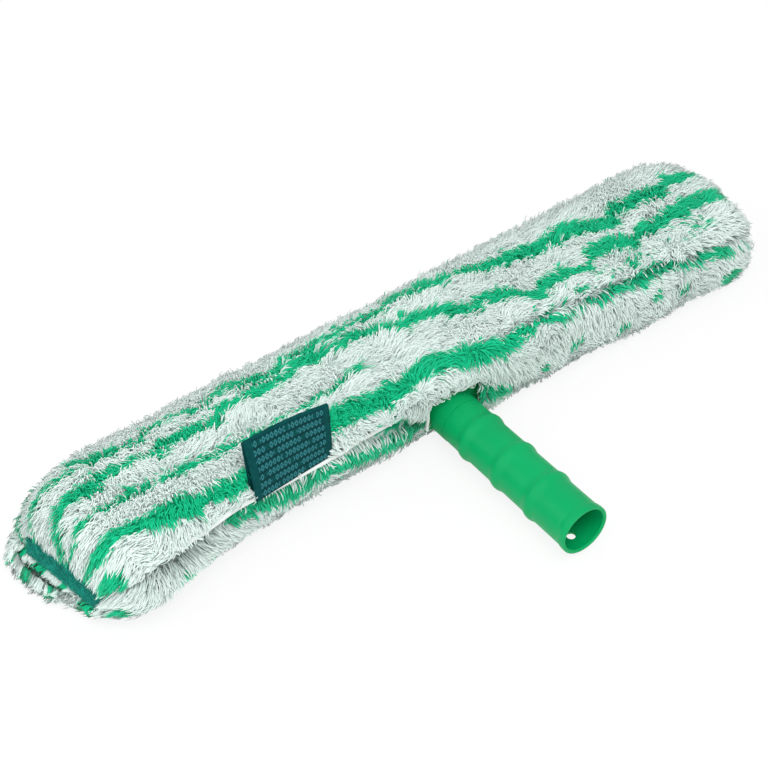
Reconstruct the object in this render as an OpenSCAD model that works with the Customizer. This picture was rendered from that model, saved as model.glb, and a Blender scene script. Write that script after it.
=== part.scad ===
/* [Crossbar] */
// Length of the crossbar
bar_length = 440; // [260:10:560]
// Width of the crossbar, front to back
bar_width = 58; // [48:1:70]
// Thickness of the crossbar
bar_thickness = 17; // [15:0.5:20]
// Radius of the crossbar's corners, seen from above
bar_corner_r = 8; // [4:0.5:14]
// Outer wall of the crossbar
bar_wall = 3; // [2:0.5:5]
// Thickness of the ribs between the water cells
rib_thickness = 2.5; // [1.5:0.5:4]
// Water cells in one row, on each side of the hub
cells_per_row = 6; // [3:1:9]
// Length of the solid hub along the crossbar
hub_length = 44; // [32:1:60]
// Length of the collar in front of the crossbar
collar_length = 12; // [9:0.5:20]
// Radius of the collar
collar_r = 14; // [13.8:0.1:16]

/* [Pole handle] */
// Length of the handle from the collar to the mouth
handle_length = 102; // [96:1:180]
// Outer radius of the handle at the collar
root_r = 13.8; // [13:0.1:14]
// Outer radius of the handle near the mouth
mouth_r = 14.5; // [14.2:0.1:14.8]
// Outer radius of the rolled lip
lip_r = 15.1; // [14.9:0.1:16]
// Width of the rolled lip
lip_width = 5; // [3:0.5:8]
// Radius of the socket bore that takes a pole
bore_r = 12.9; // [11.5:0.1:13.2]
// Depth of the socket bore behind the mouth chamfer
bore_depth = 60; // [40:1:70]
// Radius of the narrower hollow behind the socket bore
hollow_r = 11.4; // [9:0.1:11.5]
// Size of the chamfer at the mouth
mouth_chamfer = 0.8; // [0.3:0.1:1]
// Thickness of the wall that closes the hollow
floor_thickness = 5; // [3:0.5:10]
// Number of ring beads
ring_count = 3; // [1:1:3]
// Distance between ring beads
ring_pitch = 27.5; // [20:0.5:30]
// Distance of the first ring bead from the mouth
ring_first = 31; // [26:0.5:35]
// Height of a ring bead
ring_height = 1.2; // [0.4:0.1:2]
// Width of a ring bead
ring_width = 11; // [6:0.5:14]
// Radius of the hole for a pole's spring button
lock_hole_r = 2.6; // [1.5:0.1:4]
// Distance of the lock hole from the mouth
lock_hole_inset = 10.5; // [9:0.5:16]
// Radius of the spigot that sits in the hub
spigot_r = 6.4; // [5:0.1:7]
// Reach of the spigot past the crossbar's centre line
spigot_reach = 10; // [8:0.5:20]
// Radius of a screw's shank
screw_r = 2; // [1.5:0.1:2.5]
// Radius of a screw's countersunk head
screw_head_r = 3.8; // [3:0.1:4.5]
// Distance between the two screws
screw_spacing = 16; // [12:1:20]

/* [Sleeve] */
// Pile in front of the crossbar
pile_front = 6.2; // [5.6:0.2:12]
// Pile behind the crossbar
pile_back = 19.2; // [16:0.2:26]
// Pile above the crossbar
pile_top = 24.2; // [20:0.2:30]
// Pile below the crossbar, pressed flat by the weight
pile_bottom = 10.2; // [8:0.2:14]
// Pile past each end pad, below the pad
pile_end = 12.2; // [8:0.2:20]
// Pile past each end pad, above the pad
pile_end_top = 0.6; // [0:0.2:3]
// Thickness of the sewn end wall behind each pad
end_wall = 6; // [3:0.5:10]
// Thickness of the knitted backing
backing = 1.2; // [0.8:0.1:2]
// Rounding of the upper front edge
front_top_r = 14; // [8:1:18]
// Rounding of the upper back edge
back_top_r = 26; // [16:1:28]
// Rounding of the lower back edge
back_bottom_r = 16; // [8:1:18]
// Rounding of the lower front edge of the closed half, left of the handle
closed_bottom_r = 24; // [18:1:25]
// Rounding of the lower front edge of the half with the flap
flap_bottom_r = 20; // [16:1:22]
// Rounding of the front corners, seen from above
end_front_r = 8; // [4:1:14]
// Rounding of the back corners, seen from above
end_back_r = 22; // [10:1:28]
// Length over which the top slopes down to each end
end_slope = 18; // [10:1:24]
// Slant of the two ends, which run out towards the back
end_skew = 8; // [0:1:8]
// Width of the slit for the handle
slit_width = 36; // [34:1:50]
// Free height between the collar and the top of the slit
slit_headroom = 3; // [1:0.5:5]

/* [Flap and fastener] */
// Length of the closing flap
flap_length = 181; // [80:1:185]
// Overlap of the flap on top of the crossbar
flap_overlap = 19; // [16:0.5:26]
// Lean of the flap's pile towards the front, at its top
crease_lean = 12; // [8:0.5:13]
// Thickness of the hook strip and of the loop strip
strip_thickness = 1.3; // [0.8:0.1:2]
// Width of the hook strip and of the loop strip
strip_width = 11.5; // [8:0.5:12]
// Distance of the strips from the flap's two ends
strip_inset = 6; // [3:1:20]
// Distance of the strips from the fold over the crossbar's edge
strip_margin = 2; // [1:0.5:3]
// Width of the bound edge of the flap
hem_width = 3; // [2:0.5:4]
// Thickness of the bound edges
hem_thickness = 1.6; // [1:0.1:2]

/* [Trim] */
// Width of each scrub pad
pad_width = 60; // [40:1:64]
// Height of each scrub pad
pad_height = 17; // [12:0.5:18]
// Thickness of each scrub pad
pad_thickness = 3.5; // [2:0.5:6]
// Rounding of each scrub pad's corners
pad_corner_r = 3; // [1:0.5:5]
// Free space round each scrub pad
pad_margin = 0.6; // [0.3:0.1:1]
// Height of the front seam above the crossbar's centre
seam_rise = 18; // [17:0.5:20]
// Depth of the front seam in the pile
seam_depth = 3.5; // [2:0.1:4]
// Width of the seam's groove at its mouth
seam_mouth = 12; // [8:0.5:14]
// Width of the front seam's tape
seam_tape_width = 3; // [2:0.5:5]
// Thickness of the front seam's tape
seam_tape_thickness = 1.4; // [1:0.1:2]
// Width of the label
label_width = 51; // [30:1:60]
// Height of the label
label_height = 37.5; // [20:0.5:40]
// Thickness of the folded label
label_thickness = 2.2; // [1.5:0.1:3]
// Lean of the label from the vertical
label_lean = 7; // [4:0.5:10]
// Distance of the label's middle from the handle's axis
label_offset = 108; // [60:1:140]

/* [Hidden] */
$fn = 64;
// Clearance between the crossbar and the sleeve, and between soft pieces that move apart
fit_gap = 0.3;
// Clearance round the spigot and the screws
slide_gap = 0.1;
// Overshoot of every cut past the surface that it opens
cut = 1;
// Straight pieces that stand for one rounded corner
arc_steps = 10;
// Points along one ring bead and along the lip
bead_steps = 8;
// Half the length of the slope behind the rolled lip, and how far the lip's middle stands above its start
lip_slope = 1;
lip_crown = 0.15;
// Length of the taper between the socket bore and the narrower hollow
bore_step = 2;

// Crossbar and pocket
bar_z = pile_bottom + fit_gap + bar_thickness / 2;
bar_front = -bar_width / 2;
bar_bottom = bar_z - bar_thickness / 2;
pocket_half_width = bar_width / 2 + fit_gap;
pocket_bottom = pile_bottom;
pocket_top = bar_z + bar_thickness / 2 + fit_gap;
pocket_end = bar_length / 2 + fit_gap;
cell_pitch = (bar_length / 2 - bar_wall - hub_length / 2 + rib_thickness) / cells_per_row;
cell_length = cell_pitch - rib_thickness;
cell_width = bar_width / 2 - bar_wall - rib_thickness / 2;

// Sleeve outline
sleeve_front = -pocket_half_width - pile_front;
sleeve_back = pocket_half_width + pile_back;
sleeve_top = pocket_top + pile_top;
pad_inner = pocket_end + end_wall;
pad_outer = pad_inner + pad_thickness;
sleeve_end = pad_outer + pile_end;
top_end = pad_outer + pile_end_top;
pad_bottom = bar_z - pad_height / 2;
rim_top = bar_z + pad_height / 2 + pad_margin;
slit_half = slit_width / 2;
slit_top = bar_z + collar_r + slit_headroom;
hem_end = -slit_half + hem_thickness;

// Handle, measured along its axis from the crossbar's centre line
collar_face = bar_width / 2 + collar_length;
mouth = collar_face + handle_length;
bore_end = mouth - mouth_chamfer - bore_depth;
hollow_end = collar_face + floor_thickness;
lock_hole_h = mouth - lock_hole_inset;
screw_h = [bar_width / 4 - screw_spacing / 2, bar_width / 4 + screw_spacing / 2];
// Plastic left above the screws
screw_top_gap = 1.5;
screw_head_height = screw_head_r - screw_r;

// Flap and its fastener, stacked upwards from the pocket
flap_start = slit_half + 2 * fit_gap;
flap_end = flap_start + flap_length;
flap_inner = -pocket_half_width + flap_overlap;
tongue_top = pocket_top + backing;
loop_top = tongue_top + strip_thickness;
hook_bottom = loop_top + fit_gap;
flap_bottom = hook_bottom + strip_thickness;
strip_y = -pocket_half_width + strip_margin;
hem_y = flap_inner - fit_gap - hem_width;
hinge_y = -pocket_half_width - fit_gap;
hinge_z = pocket_bottom - backing;

// Front seam and label
seam_z = bar_z + seam_rise;
seam_floor = sleeve_front + seam_depth;
seam_start = -pad_inner + end_back_r;
label_bottom = seam_z + seam_tape_width / 2 + fit_gap;
label_back = seam_floor - seam_tape_thickness + fit_gap;

// The origin is the middle of the footprint, on the surface that the tool lies on
origin_y = (mouth - sleeve_back) / 2;

function oval_arc(cx, cy, rx, ry, start, end, steps) =
    [for (i = [0:steps]) let (a = start + (end - start) * i / steps) [cx + rx * cos(a), cy + ry * sin(a)]];
function arc(cx, cy, r, start, end, steps) = oval_arc(cx, cy, r, r, start, end, steps);

// A closed outline with its four corners rounded: right bottom, right top, left top, left bottom
function rounded_outline(x0, x1, y0, y1, rb, rt, lt, lb) = concat(
    arc(x1 - rb, y0 + rb, rb, -90, 0, arc_steps),
    arc(x1 - rt, y1 - rt, rt, 0, 90, arc_steps),
    arc(x0 + lt, y1 - lt, lt, 90, 180, arc_steps),
    arc(x0 + lb, y0 + lb, lb, 180, 270, arc_steps)
);

// Radius of the handle's skin at distance h: a straight taper with soft ring beads
function taper_r(h) = root_r + (mouth_r - root_r) * (h - collar_face) / handle_length;
function bead_h(i) = mouth - ring_first - i * ring_pitch;
function bead(i) = [for (k = [0:bead_steps])
    let (t = k / bead_steps, h = bead_h(i) + (t - 0.5) * ring_width)
    [taper_r(h) + ring_height * (1 - cos(360 * t)) / 2, h]];

module placed() {
    translate([0, origin_y, 0])
        children();
}

module box(x0, x1, y0, y1, z0, z1) {
    translate([x0, y0, z0])
        cube([x1 - x0, y1 - y0, z1 - z0]);
}

// Draws a profile of y and z and extends it from x0 to x1
module along_x(x0, x1) {
    translate([x0, 0, 0])
        rotate([90, 0, 90])
            linear_extrude(x1 - x0)
                children();
}

// Turns children that stand on z = 0 to point along the handle, from distance h
module along_handle(h) {
    translate([0, -h, bar_z])
        rotate([90, 0, 0])
            children();
}

module screw_holes(r) {
    for (h = screw_h)
        translate([0, -h, bar_bottom - cut])
            cylinder(r = r, h = bar_thickness - screw_top_gap + cut);
}

// Pole handle
module handle_profile() {
    lip_start = mouth - lip_width;
    inner_mouth_r = bore_r + mouth_chamfer;
    lip_round = (lip_r - inner_mouth_r) / 2;
    polygon(concat(
        [[0, collar_face], [root_r, collar_face]],
        [for (i = [ring_count - 1:-1:0]) each bead(i)],
        [[taper_r(lip_start - lip_slope), lip_start - lip_slope]],
        [[lip_r - lip_crown, lip_start + lip_slope], [lip_r, mouth - lip_width / 2]],
        arc(lip_r - lip_round, mouth - lip_round, lip_round, 0, 90, bead_steps),
        [[inner_mouth_r, mouth], [bore_r, mouth - mouth_chamfer], [bore_r, bore_end]],
        [[hollow_r, bore_end - bore_step], [hollow_r, hollow_end], [0, hollow_end]]
    ));
}

module pole_handle() {
    color([0.01, 0.68, 0.38])
        placed()
            difference() {
                union() {
                    along_handle(0)
                        rotate_extrude()
                            handle_profile();
                    along_handle(-spigot_reach)
                        cylinder(r = spigot_r, h = spigot_reach + collar_face + floor_thickness / 2);
                }
                translate([0, -lock_hole_h, bar_z - lip_r - cut])
                    cylinder(r = lock_hole_r, h = lip_r + cut);
                screw_holes(screw_r + slide_gap);
            }
}

module handle_screws() {
    color([0.75, 0.76, 0.78])
        placed()
            for (h = screw_h)
                translate([0, -h, bar_bottom])
                    union() {
                        cylinder(r = screw_r, h = bar_thickness - screw_top_gap - slide_gap);
                        cylinder(r1 = screw_head_r, r2 = screw_r, h = screw_head_height);
                    }
}

// Crossbar: a lattice of water cells, a solid hub and a collar
module bar_slab() {
    translate([0, 0, bar_bottom])
        linear_extrude(bar_thickness)
            polygon(rounded_outline(-bar_length / 2, bar_length / 2, bar_front, -bar_front,
                bar_corner_r, bar_corner_r, bar_corner_r, bar_corner_r));
}

module water_cell(x0, y0) {
    box(x0, x0 + cell_length, y0, y0 + cell_width, bar_bottom - cut, bar_bottom + bar_thickness + cut);
}

module end_cell_corners() {
    intersection() {
        bar_slab();
        for (sx = [-1, 1], sy = [-1, 1])
            translate([sx * (bar_length / 2 - bar_corner_r), sy * (bar_width / 2 - bar_corner_r), bar_bottom])
                difference() {
                    translate([sx * bar_corner_r / 2, sy * bar_corner_r / 2, bar_thickness / 2])
                        cube([bar_corner_r, bar_corner_r, bar_thickness], center = true);
                    translate([0, 0, -cut])
                        cylinder(r = bar_corner_r - bar_wall, h = bar_thickness + 2 * cut);
                }
    }
}

module crossbar() {
    color([0.02, 0.6, 0.36])
        placed()
            difference() {
                union() {
                    difference() {
                        bar_slab();
                        for (i = [0:cells_per_row - 1], y0 = [bar_front + bar_wall, rib_thickness / 2]) {
                            water_cell(hub_length / 2 + i * cell_pitch, y0);
                            water_cell(-hub_length / 2 - i * cell_pitch - cell_length, y0);
                        }
                    }
                    end_cell_corners();
                    along_handle(bar_width / 2 - cut)
                        cylinder(r = collar_r, h = collar_length + cut - slide_gap);
                }
                along_handle(-spigot_reach - slide_gap)
                    cylinder(r = spigot_r + slide_gap, h = spigot_reach + collar_face + cut);
                screw_holes(screw_r + slide_gap);
                for (h = screw_h)
                    translate([0, -h, bar_bottom - slide_gap])
                        cylinder(r1 = screw_head_r + 2 * slide_gap, r2 = screw_r,
                            h = screw_head_height + 2 * slide_gap);
            }
}

// Sleeve: one rounded body of pile, cut into the sleeve and its flap
module sleeve_half(x0, x1, front_bottom_r) {
    along_x(x0, x1)
        polygon(rounded_outline(sleeve_front, sleeve_back, 0, sleeve_top,
            back_bottom_r, back_top_r, front_top_r, front_bottom_r));
}

// The outline seen from above: its ends slant out towards the back
module sleeve_plan() {
    polygon([for (p = rounded_outline(-sleeve_end, sleeve_end, sleeve_front, sleeve_back,
        end_front_r, end_back_r, end_back_r, end_front_r)) [p.x + sign(p.x) * p.y * tan(end_skew), p.y]]);
}

// The right end seen from the front: it slopes in above the pad and stands out below it
module end_profile() {
    polygon(concat(
        [[-pad_inner / 2, 0]],
        oval_arc(pad_outer - end_slope, pad_bottom, pile_end + end_slope, pad_bottom, -90, 0, arc_steps),
        oval_arc(top_end - end_slope, rim_top, end_slope, sleeve_top - rim_top, 0, 90, arc_steps),
        [[-pad_inner / 2, sleeve_top]]
    ));
}

// Turns what lies at the right end about the middle of its pad's seat
module skewed() {
    translate([pad_inner, 0, 0])
        rotate([0, 0, -end_skew])
            translate([-pad_inner, 0, 0])
                children();
}

module end_block() {
    skewed()
        translate([0, pad_inner / 2, 0])
            rotate([90, 0, 0])
                linear_extrude(pad_inner)
                    end_profile();
}

module pile_body() {
    intersection() {
        union() {
            sleeve_half(-sleeve_end - pile_end, hem_end, closed_bottom_r);
            sleeve_half(hem_end, sleeve_end + pile_end, flap_bottom_r);
        }
        translate([0, 0, -cut])
            linear_extrude(sleeve_top + 2 * cut)
                sleeve_plan();
        union() {
            end_block();
            mirror([1, 0, 0])
                end_block();
        }
    }
}

module pocket() {
    box(-pocket_end, pocket_end, -pocket_half_width, pocket_half_width, pocket_bottom, pocket_top);
}

// A pad's outline, grown by margin and extended outwards from the pad's seat
module pad_block(thickness, margin) {
    half_width = pad_width / 2 + margin;
    half_height = pad_height / 2 + margin;
    r = pad_corner_r + margin;
    skewed()
        translate([pad_inner, 0, bar_z])
            rotate([90, 0, 90])
                linear_extrude(thickness)
                    polygon(rounded_outline(-half_width, half_width, -half_height, half_height, r, r, r, r));
}

module pad_recess() {
    pad_block(sleeve_end - pad_inner + pile_end, pad_margin);
}

module seam_groove() {
    floor_half = seam_tape_width / 2 + fit_gap;
    along_x(-sleeve_end - pile_end, -slit_half)
        polygon([[seam_floor, seam_z - floor_half], [seam_floor, seam_z + floor_half],
            [sleeve_front - cut, seam_z + seam_mouth / 2], [sleeve_front - cut, seam_z - seam_mouth / 2]]);
}

// What the flap takes from the pile above the bar: its inner face leans to the front
module flap_top(x0, x1, inner, bottom) {
    along_x(x0, x1)
        polygon([[sleeve_front - cut, bottom], [inner, bottom], [inner, flap_bottom],
            [inner - crease_lean, sleeve_top + cut], [sleeve_front - cut, sleeve_top + cut]]);
}

module pile_sleeve() {
    color([0.9, 0.94, 0.92])
        placed()
            difference() {
                pile_body();
                pocket();
                pad_recess();
                mirror([1, 0, 0])
                    pad_recess();
                box(-slit_half, slit_half, sleeve_front - cut, bar_front + cut + fit_gap, -cut, slit_top);
                box(slit_half, flap_end + fit_gap, sleeve_front - cut, -pocket_half_width,
                    -cut, sleeve_top + cut);
                flap_top(slit_half, flap_end + fit_gap, flap_inner, tongue_top);
                seam_groove();
                label_seat()
                    translate([-label_width / 2 - fit_gap, -label_height, -fit_gap])
                        cube([label_width + 2 * fit_gap, label_height + fit_gap, label_height + cut]);
            }
}

module closing_flap() {
    color([0.85, 0.92, 0.89])
        placed()
            intersection() {
                pile_body();
                union() {
                    box(flap_start, flap_end, sleeve_front - cut, hinge_y, hinge_z, sleeve_top);
                    flap_top(flap_start, flap_end, flap_inner - fit_gap, flap_bottom);
                }
            }
}

module fastener_strip(z0) {
    box(flap_start + strip_inset, flap_end - strip_inset, strip_y, strip_y + strip_width,
        z0, z0 + strip_thickness);
}

module hook_strip() {
    color([0.1, 0.12, 0.12])
        placed()
            fastener_strip(hook_bottom);
}

module loop_strip() {
    color([0.14, 0.16, 0.16])
        placed()
            fastener_strip(tongue_top);
}

module flap_hem() {
    color([0.93, 0.96, 0.95])
        placed()
            box(flap_start, flap_end, hem_y, hem_y + hem_width, flap_bottom - hem_thickness, flap_bottom);
}

// Bound edge on the left side of the handle's slit
module slit_hem() {
    color([0.93, 0.96, 0.95])
        placed()
            intersection() {
                pile_body();
                box(-slit_half, hem_end, sleeve_front, -pocket_half_width, 0, slit_top);
            }
}

// End pads, front seam and label
module scrub_pad() {
    pad_block(pad_thickness, 0);
}

module right_scrub_pad() {
    color([0.03, 0.5, 0.44])
        placed()
            scrub_pad();
}

module left_scrub_pad() {
    color([0.03, 0.5, 0.44])
        placed()
            mirror([1, 0, 0])
                scrub_pad();
}

module front_seam_tape() {
    color([0.95, 0.97, 0.96])
        placed()
            box(seam_start, -slit_half, seam_floor - seam_tape_thickness, seam_floor,
                seam_z - seam_tape_width / 2, seam_z + seam_tape_width / 2);
}

// Places children that stand on z = 0 in front of y = 0 as the label stands in the seam
module label_seat() {
    translate([-label_offset, label_back, label_bottom])
        rotate([-label_lean, 0, 0])
            children();
}

module woven_label() {
    color([0.01, 0.33, 0.32])
        placed()
            label_seat()
                translate([-label_width / 2, -label_thickness, 0])
                    cube([label_width, label_thickness, label_height]);
}

pole_handle();
crossbar();
handle_screws();
pile_sleeve();
closing_flap();
hook_strip();
loop_strip();
flap_hem();
slit_hem();
left_scrub_pad();
right_scrub_pad();
front_seam_tape();
woven_label();
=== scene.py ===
"""Window scrubber: the looks of a strip washer with a long-pile sleeve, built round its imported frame.

Lengths are millimetres in the tool's own frame: x along the crossbar, y = 0 on the crossbar's centre line
with the handle towards -y, z = 0 on the floor. place() turns them into metres in the row frame.
"""
import math

import bpy
import numpy as np
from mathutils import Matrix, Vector
from mathutils.bvhtree import BVHTree


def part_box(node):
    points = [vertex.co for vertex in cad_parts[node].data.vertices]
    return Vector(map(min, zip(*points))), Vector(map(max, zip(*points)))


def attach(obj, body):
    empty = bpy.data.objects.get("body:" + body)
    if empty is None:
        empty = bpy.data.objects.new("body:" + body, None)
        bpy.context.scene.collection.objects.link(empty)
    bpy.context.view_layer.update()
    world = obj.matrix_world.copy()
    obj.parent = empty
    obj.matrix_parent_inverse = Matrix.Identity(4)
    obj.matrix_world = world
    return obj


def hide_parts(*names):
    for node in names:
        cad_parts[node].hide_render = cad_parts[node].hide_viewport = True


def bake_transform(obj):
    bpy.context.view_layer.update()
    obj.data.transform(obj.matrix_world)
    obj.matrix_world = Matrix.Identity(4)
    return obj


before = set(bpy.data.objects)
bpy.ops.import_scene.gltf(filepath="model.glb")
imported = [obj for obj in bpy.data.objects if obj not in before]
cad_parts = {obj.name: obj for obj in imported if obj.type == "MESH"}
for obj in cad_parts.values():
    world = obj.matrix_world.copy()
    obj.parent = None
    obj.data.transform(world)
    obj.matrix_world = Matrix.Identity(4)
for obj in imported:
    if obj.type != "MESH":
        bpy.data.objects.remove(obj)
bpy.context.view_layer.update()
rng = np.random.default_rng(7)

MM = 0.001


# Places and sizes that come from the frame
BAR_HALF_WIDTH = 29
ORIGIN_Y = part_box("crossbar")[1][1] / MM - BAR_HALF_WIDTH


def tool_box(name):
    """A node's box in the tool's own frame."""
    return [np.array(end) / MM - (0, ORIGIN_Y, 0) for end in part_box(name)]


def place(points):
    """Points of the tool's frame, as metres in the row frame."""
    return (np.asarray(points, float) + (0, ORIGIN_Y, 0)) * MM


def points_at(x, y, z):
    """Points from their coordinates, each an array or one number for all."""
    return np.stack(np.broadcast_arrays(x, y, z), -1)


sleeve_low, sleeve_high = tool_box("pile_sleeve")
flap_low, flap_high = tool_box("closing_flap")
pad_low, pad_high = tool_box("left_scrub_pad")
tape_low, tape_high = tool_box("front_seam_tape")
hem_low, hem_high = tool_box("slit_hem")
label_low, label_high = tool_box("woven_label")
BAR_Z = (pad_low[2] + pad_high[2]) / 2

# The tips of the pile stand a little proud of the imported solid
PROUD = 1.5
FRONT, BACK = sleeve_low[1] - PROUD, sleeve_high[1] + PROUD
TOP = sleeve_high[2] + PROUD

# Rounding of the sleeve's section. Its lower front edge differs between the closed half and the flap's half
FRONT_TOP_R, BACK_TOP_R, BACK_BOTTOM_R = 15, 26, 16
CLOSED_BOTTOM_R, FLAP_BOTTOM_R = 26, 21
# Half the length of the sleeve between its rounded ends
STRAIGHT = 212
# Length of surface that one rounded end takes up, and of the ledge from there in to the pad
CAP = 26
LEDGE = 11
# How far the rounded ends reach past the straight part, how much further the lip under a pad does,
# and how far the lip's outer edge droops
LEFT_REACH, RIGHT_REACH = 18, 12
LIP_REACH = 11
LIP_DROP = 3.5
# How much sooner the ends begin to turn in at the back
BACK_ROUNDING = 30
# Slant of the ends in plan
END_ANGLE = math.radians(8)
SKEW = math.tan(END_ANGLE)
# The pads: where the middle of their seat is along x, and half their width and height
PAD_SEAT = 226.3
PAD_HALF_WIDTH, PAD_HALF_HEIGHT = 30, 8.5


# Noise and ramps
def ramp(low, high, value):
    """0 below low, 1 above high, smooth between."""
    t = np.clip((value - low) / (high - low), 0, 1)
    return t * t * (3 - 2 * t)


def between(rise, peak, fall, end, value):
    """0 outside rise to end, 1 from peak to fall, smooth between."""
    return ramp(rise, peak, value) * (1 - ramp(fall, end, value))


def hump(value, centre, width):
    """A smooth hump, 1 at its centre."""
    return np.exp(-((value - centre) / width) ** 2)


def lattice(i, j, seed):
    n = (i * 374761393 + j * 668265263 + seed * 362437) & 0xFFFFFFFF
    n = ((n ^ (n >> 13)) * 1274126177) & 0xFFFFFFFF
    return ((n ^ (n >> 16)) & 0xFFFF) / 32767.5 - 1


def noise(u, v, seed):
    """Smooth noise from -1 to 1, with about one bump to a unit."""
    u, v = np.broadcast_arrays(np.asarray(u, float), np.asarray(v, float))
    i = np.floor(u).astype(np.int64)
    j = np.floor(v).astype(np.int64)
    a = ramp(0, 1, u - i)
    b = ramp(0, 1, v - j)
    low = lattice(i, j, seed) * (1 - a) + lattice(i + 1, j, seed) * a
    high = lattice(i, j + 1, seed) * (1 - a) + lattice(i + 1, j + 1, seed) * a
    return low * (1 - b) + high * b


# The sleeve's section: a closed outline walked from the middle of the underside, up the back,
# over the top and down the front
def corner(cy, cz, r, start):
    angles = np.radians(np.linspace(start, start + 90, 16))
    return [(cy + r * math.cos(a), cz + r * math.sin(a)) for a in angles]


def section_outline(front_bottom_r):
    """The section as points of (y, z): a rounded box with four different corners."""
    points = [(0, 0)]
    points += corner(BACK - BACK_BOTTOM_R, BACK_BOTTOM_R, BACK_BOTTOM_R, -90)
    points += corner(BACK - BACK_TOP_R, TOP - BACK_TOP_R, BACK_TOP_R, 0)
    points += corner(FRONT + FRONT_TOP_R, TOP - FRONT_TOP_R, FRONT_TOP_R, 90)
    points += corner(FRONT + front_bottom_r, front_bottom_r, front_bottom_r, 180)
    points += [(0, 0)]
    return np.array(points)


closed_section = section_outline(CLOSED_BOTTOM_R)
flap_section = section_outline(FLAP_BOTTOM_R)
outline_walk = np.r_[0, np.cumsum(np.hypot(*np.diff(closed_section, axis=0).T))]
GIRTH = outline_walk[-1]


def on_section(s, x):
    """y and z of the plain section at a walk s, which changes shape behind the handle."""
    s = np.mod(s, GIRTH)
    share = ramp(-25, 10, x)
    closed_y, closed_z = (np.interp(s, outline_walk, column) for column in closed_section.T)
    flap_y, flap_z = (np.interp(s, outline_walk, column) for column in flap_section.T)
    return closed_y * (1 - share) + flap_y * share, closed_z * (1 - share) + flap_z * share


def follow(points, x):
    """A value at x, on straight lines between points of (x, value)."""
    places, values = zip(*points)
    return np.interp(x, places, values)


def seam_walk(x):
    """Walk of the front seam, which drops into the slit beside the handle."""
    points = [(-191, 185), (-136, 182.5), (-85, 180), (-62, 179), (-44, 183), (-32, 187), (-20, 196)]
    return follow(points, x)


def crease_walk(x):
    """Walk of the crease along the flap's free edge."""
    return follow([(20, 160), (64, 163), (105, 167), (158, 172), (196, 176)], x)


def swell(s, x):
    """How far the pile stands proud of the plain section, with its ridge, seam, crease and dents."""
    left = 1 - ramp(-10, 25, x)
    open_seam = between(-125, -150, -205, -222, x)
    return (2.5 * hump(s, 150, 6) * left
            - 2.0 * hump(s, 141, 3.5) * left
            - 4.8 * hump(s, seam_walk(x), 2.8) * left * (1 + 0.4 * ramp(-70, -55, x))
            - 4.5 * hump(s, crease_walk(x), 2.2) * ramp(10, 40, x)
            + 1.5 * between(70, 95, 125, 145, s) * between(-110, -50, 60, 120, x)
            - 1.6 * ramp(192, 200, s) * left
            - 2.4 * between(164, 176, 181, 185, s) * open_seam
            + 2.2 * between(187, 191, 197, 206, s) * open_seam
            - 3.0 * between(-50, -24, -16, -6, x) * between(174, 182, 205, 220, s)
            + 1.6 * noise(s / 22, x / 34, 3)
            + 1.0 * noise(s / 9, x / 12, 4))


def flare(x, z):
    """How far the front of the sleeve bulges forward near its ends, most of all low down on the left."""
    low_left = 7.0 * ramp(-180, -212, x) * (1 - ramp(12, 32, z))
    return 7.5 * ramp(-135, -195, x) + low_left + 3.5 * ramp(80, 150, x)


def surface(s, v):
    """A point of the pile's tips. v runs along the sleeve and on over its rounded ends."""
    y, z = on_section(s, v)
    along = np.abs(v)
    side = np.sign(v)
    start = STRAIGHT - BACK_ROUNDING * ramp(0, 50, y)
    turn = np.clip((along - start) / (STRAIGHT + CAP - start), 0, 1) * (math.pi / 2)
    mix = 1 - np.cos(turn)
    ledge = np.clip((along - STRAIGHT - CAP) / LEDGE, 0, 1)
    under = 1 - ramp(8, 30, z)
    lip = LIP_REACH * under * (0.12 + 0.88 * ramp(-40, 15, y))
    reach = STRAIGHT - start + np.where(v > 0, RIGHT_REACH, LEFT_REACH) + lip
    x = side * (np.minimum(along, start) + reach * np.sin(turn) - ledge * lip)
    y = y - flare(v, z) * (1 - ramp(-30, 0, y)) * (1 - ramp(34, 52, z)) * (1 - 0.8 * mix)
    rim_y, rim_z = pad_rim(y, z)
    y = y * (1 - mix) + rim_y * mix
    z = z * (1 - mix) + rim_z * mix - LIP_DROP * under * mix * (1 - ledge)
    x = x + side * SKEW * y * ramp(110, STRAIGHT, along)
    return points_at(x, y, z)


def pad_rim(y, z):
    """The point of the rim round the pad that belongs to a point of the section."""
    middle = (FRONT + BACK) / 2
    rim_y = 31 * np.clip((y - middle) / (BACK - middle), -1, 1)
    rim_z = BAR_Z - 9.5 + 19 * np.clip(z / TOP, 0, 1)
    return rim_y, rim_z


def surface_frame(s, v):
    """Point, outward normal and area of one square millimetre of s and v."""
    step = 0.5
    point = surface(s, v)
    along_s = (surface(s + step, v) - surface(s - step, v)) / (2 * step)
    along_v = (surface(s, v + step) - surface(s, v - step)) / (2 * step)
    cross = np.cross(along_v, along_s)
    area = np.linalg.norm(cross, axis=-1)
    normal = -cross / np.maximum(area, 1e-6)[..., None]
    return point, normal, area


# Stripes
def band(value, centre, half_width):
    """Above 0 inside the band, below 0 outside, in millimetres."""
    return half_width - np.abs(value - centre)


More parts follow.
